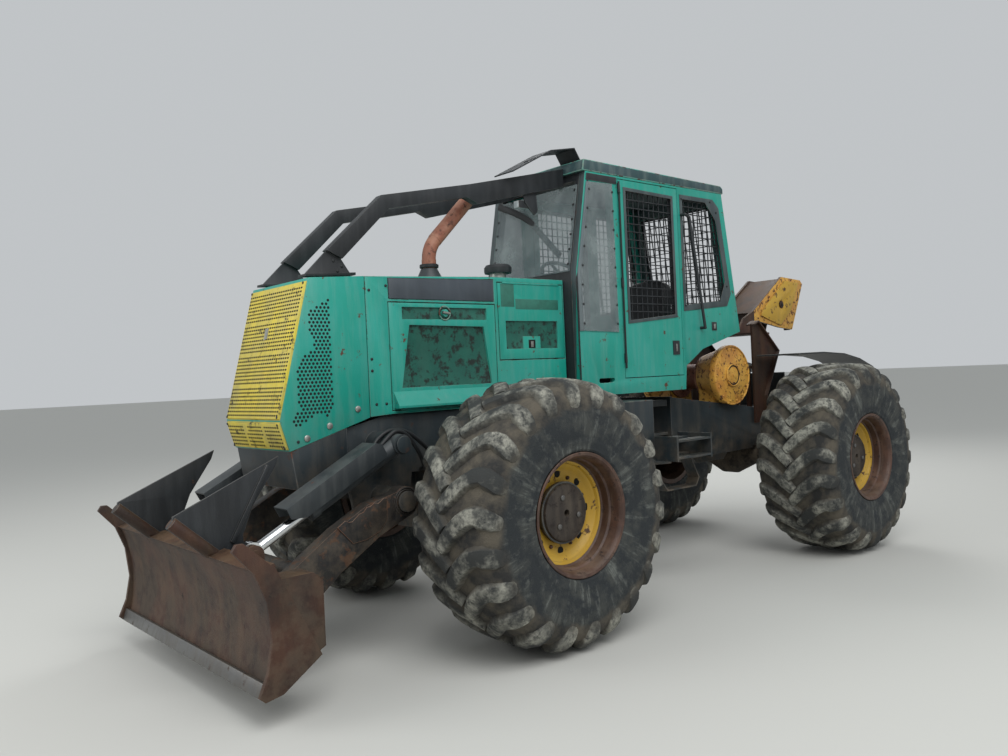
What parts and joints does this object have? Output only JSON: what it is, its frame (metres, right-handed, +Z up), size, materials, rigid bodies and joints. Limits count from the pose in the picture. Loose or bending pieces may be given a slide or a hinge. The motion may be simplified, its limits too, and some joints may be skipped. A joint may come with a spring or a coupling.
{
  "type": "cable skidder with front blade",
  "caption": "Articulated forestry cable skidder with a dozer blade in front, a meshed cab, a rear winch and a fixed arch with a fairlead roller.",
  "frame": {"origin": "middle of the machine's box on the ground it stands on", "axes": "+X forward, +Y to the machine's left, +Z up"},
  "size_m": [6.6012, 2.74, 3.2047],
  "materials": {
    "teal_paint": "satin, weathered",
    "black_paint": "satin, weathered",
    "grey_band": "satin",
    "yellow_paint": "worn, chipped",
    "rusty_steel": "rusty",
    "bare_steel": "polished",
    "engine_iron": "rough",
    "tyre_rubber": "worn, muddy",
    "window_sheet": "scratched",
    "seat_cloth": "matte"
  },
  "bodies": {
    "front_unit": {"front_frame": "black_paint", "frame_cross": "black_paint", "front_axle": "black_paint", "engine_block": "engine_iron", "nose_pan": "black_paint", "nose_shell": "teal_paint", "hood_shell": "teal_paint", "hood_bands": "grey_band", "grille": "yellow_paint", "exhaust": "rusty_steel", "air_cleaner": "black_paint", "sweeps": "black_paint", "visor_sheet": "black_paint", "work_lamp": "black_paint", "cab_floor": "black_paint", "cab_sides": "teal_paint", "cab_front": "black_paint", "cab_rear": "teal_paint", "cab_roof": "teal_paint", "cab_glass": "window_sheet", "cab_mesh": "black_paint", "grab_rails": "black_paint", "seat": "seat_cloth", "console": "black_paint", "step_boxes": "black_paint", "steps": "black_paint"},
    "rear_unit": {"rear_frame": "black_paint", "rear_axle": "black_paint", "winch_case": "yellow_paint", "arch": "rusty_steel", "head_plates": "yellow_paint", "fenders": "black_paint"},
    "door_left": {"door_left": "teal_paint"},
    "door_right": {"door_right": "teal_paint"},
    "engine_door_left": {"engine_door_left": "teal_paint"},
    "engine_door_right": {"engine_door_right": "teal_paint"},
    "access_panel_left": {"access_panel_left": "teal_paint"},
    "access_panel_right": {"access_panel_right": "teal_paint"},
    "blade": {"blade": "rusty_steel", "cutting_edge": "bare_steel", "ear_guards": "black_paint", "push_arms": "rusty_steel"},
    "lift_barrel_left": {"lift_barrel_left": "black_paint"},
    "lift_barrel_right": {"lift_barrel_right": "black_paint"},
    "lift_rod_left": {"lift_rod_left": "bare_steel"},
    "lift_rod_right": {"lift_rod_right": "bare_steel"},
    "steer_barrel_left": {"steer_barrel_left": "black_paint"},
    "steer_barrel_right": {"steer_barrel_right": "black_paint"},
    "steer_rod_left": {"steer_rod_left": "bare_steel"},
    "steer_rod_right": {"steer_rod_right": "bare_steel"},
    "winch_drum": {"winch_drum": "black_paint"},
    "fairlead_roller": {"fairlead_roller": "bare_steel"},
    "wheel_front_left": {"tyre_front_left": "tyre_rubber", "rim_front_left": "yellow_paint"},
    "wheel_front_right": {"tyre_front_right": "tyre_rubber", "rim_front_right": "yellow_paint"},
    "wheel_rear_left": {"tyre_rear_left": "tyre_rubber", "rim_rear_left": "yellow_paint"},
    "wheel_rear_right": {"tyre_rear_right": "tyre_rubber", "rim_rear_right": "yellow_paint"}
  },
  "joints": [
    {"name": "articulation", "type": "hinge", "parent": "front_unit", "child": "rear_unit", "pos_m": [-0.3866, 0, 1], "axis": [0, 0, 1], "range_deg": [-40, 40]},
    {"name": "wheel_front_left_spin", "type": "hinge", "parent": "front_unit", "child": "wheel_front_left", "pos_m": [1.3134, 1.03, 0.785], "axis": [0, 1, 0], "continuous": true},
    {"name": "wheel_front_right_spin", "type": "hinge", "parent": "front_unit", "child": "wheel_front_right", "pos_m": [1.3134, -1.03, 0.785], "axis": [0, 1, 0], "continuous": true},
    {"name": "wheel_rear_left_spin", "type": "hinge", "parent": "rear_unit", "child": "wheel_rear_left", "pos_m": [-2.0866, 1.03, 0.785], "axis": [0, 1, 0], "continuous": true},
    {"name": "wheel_rear_right_spin", "type": "hinge", "parent": "rear_unit", "child": "wheel_rear_right", "pos_m": [-2.0866, -1.03, 0.785], "axis": [0, 1, 0], "continuous": true},
    {"name": "blade_lift", "type": "hinge", "parent": "front_unit", "child": "blade", "pos_m": [1.9934, 0, 0.89], "axis": [0, -1, 0], "range_deg": [-7, 30]},
    {"name": "lift_barrel_left_tilt", "type": "hinge", "parent": "front_unit", "child": "lift_barrel_left", "pos_m": [2.0134, 0.55, 1.22], "axis": [0, -1, 0], "range_deg": [-6.53, 27.67]},
    {"name": "lift_rod_left_slide", "type": "slide", "parent": "lift_barrel_left", "child": "lift_rod_left", "axis": [0.8845, 0, -0.4665], "range_m": [-0.168, 0.04]},
    {"name": "lift_barrel_right_tilt", "type": "hinge", "parent": "front_unit", "child": "lift_barrel_right", "pos_m": [2.0134, -0.55, 1.22], "axis": [0, -1, 0], "range_deg": [-6.53, 27.67]},
    {"name": "lift_rod_right_slide", "type": "slide", "parent": "lift_barrel_right", "child": "lift_rod_right", "axis": [0.8845, 0, -0.4665], "range_m": [-0.168, 0.04]},
    {"name": "steer_barrel_left_turn", "type": "hinge", "parent": "front_unit", "child": "steer_barrel_left", "pos_m": [0.4634, 0.22, 1], "axis": [0, 0, 1], "range_deg": [-4.54, 4.54]},
    {"name": "steer_rod_left_slide", "type": "slide", "parent": "steer_barrel_left", "child": "steer_rod_left", "axis": [-0.9998, 0.0206, 0], "range_m": [-0.1577, 0.1577]},
    {"name": "steer_barrel_right_turn", "type": "hinge", "parent": "front_unit", "child": "steer_barrel_right", "pos_m": [0.4634, -0.22, 1], "axis": [0, 0, 1], "range_deg": [-4.54, 4.54]},
    {"name": "steer_rod_right_slide", "type": "slide", "parent": "steer_barrel_right", "child": "steer_rod_right", "axis": [-0.9998, -0.0206, 0], "range_m": [-0.1577, 0.1577]},
    {"name": "door_left_open", "type": "hinge", "parent": "front_unit", "child": "door_left", "pos_m": [-0.0766, 0.502, 2.3], "axis": [0, 0, -1], "range_deg": [0, 110]},
    {"name": "door_right_open", "type": "hinge", "parent": "front_unit", "child": "door_right", "pos_m": [-0.0766, -0.502, 2.3], "axis": [0, 0, 1], "range_deg": [0, 110]},
    {"name": "engine_door_left_open", "type": "hinge", "parent": "front_unit", "child": "engine_door_left", "pos_m": [1.4834, 0.36, 1.41], "axis": [-1, 0, 0], "range_deg": [0, 45]},
    {"name": "engine_door_right_open", "type": "hinge", "parent": "front_unit", "child": "engine_door_right", "pos_m": [1.4834, -0.36, 1.41], "axis": [1, 0, 0], "range_deg": [0, 45]},
    {"name": "access_panel_left_open", "type": "hinge", "parent": "front_unit", "child": "access_panel_left", "pos_m": [0.7234, 0.36, 2.21], "axis": [1, 0, 0], "range_deg": [0, 90]},
    {"name": "access_panel_right_open", "type": "hinge", "parent": "front_unit", "child": "access_panel_right", "pos_m": [0.7234, -0.36, 2.21], "axis": [-1, 0, 0], "range_deg": [0, 90]},
    {"name": "winch_drum_turn", "type": "hinge", "parent": "rear_unit", "child": "winch_drum", "pos_m": [-1.5566, 0, 1.5], "axis": [0, 1, 0], "continuous": true},
    {"name": "fairlead_roller_spin", "type": "hinge", "parent": "rear_unit", "child": "fairlead_roller", "pos_m": [-2.7066, 0, 2.15], "axis": [0, 1, 0], "continuous": true}
  ],
  "couplings": [
    {"joint": "lift_barrel_left_tilt", "follows": "blade_lift", "ratio": 0.919},
    {"joint": "lift_rod_left_slide", "follows": "blade_lift", "m_per_rad": -0.319},
    {"joint": "lift_barrel_right_tilt", "follows": "blade_lift", "ratio": 0.919},
    {"joint": "lift_rod_right_slide", "follows": "blade_lift", "m_per_rad": -0.319},
    {"joint": "steer_barrel_left_turn", "follows": "articulation", "ratio": 0.111},
    {"joint": "steer_rod_left_slide", "follows": "articulation", "m_per_rad": 0.2244},
    {"joint": "steer_barrel_right_turn", "follows": "articulation", "ratio": 0.111},
    {"joint": "steer_rod_right_slide", "follows": "articulation", "m_per_rad": -0.2244}
  ]
}
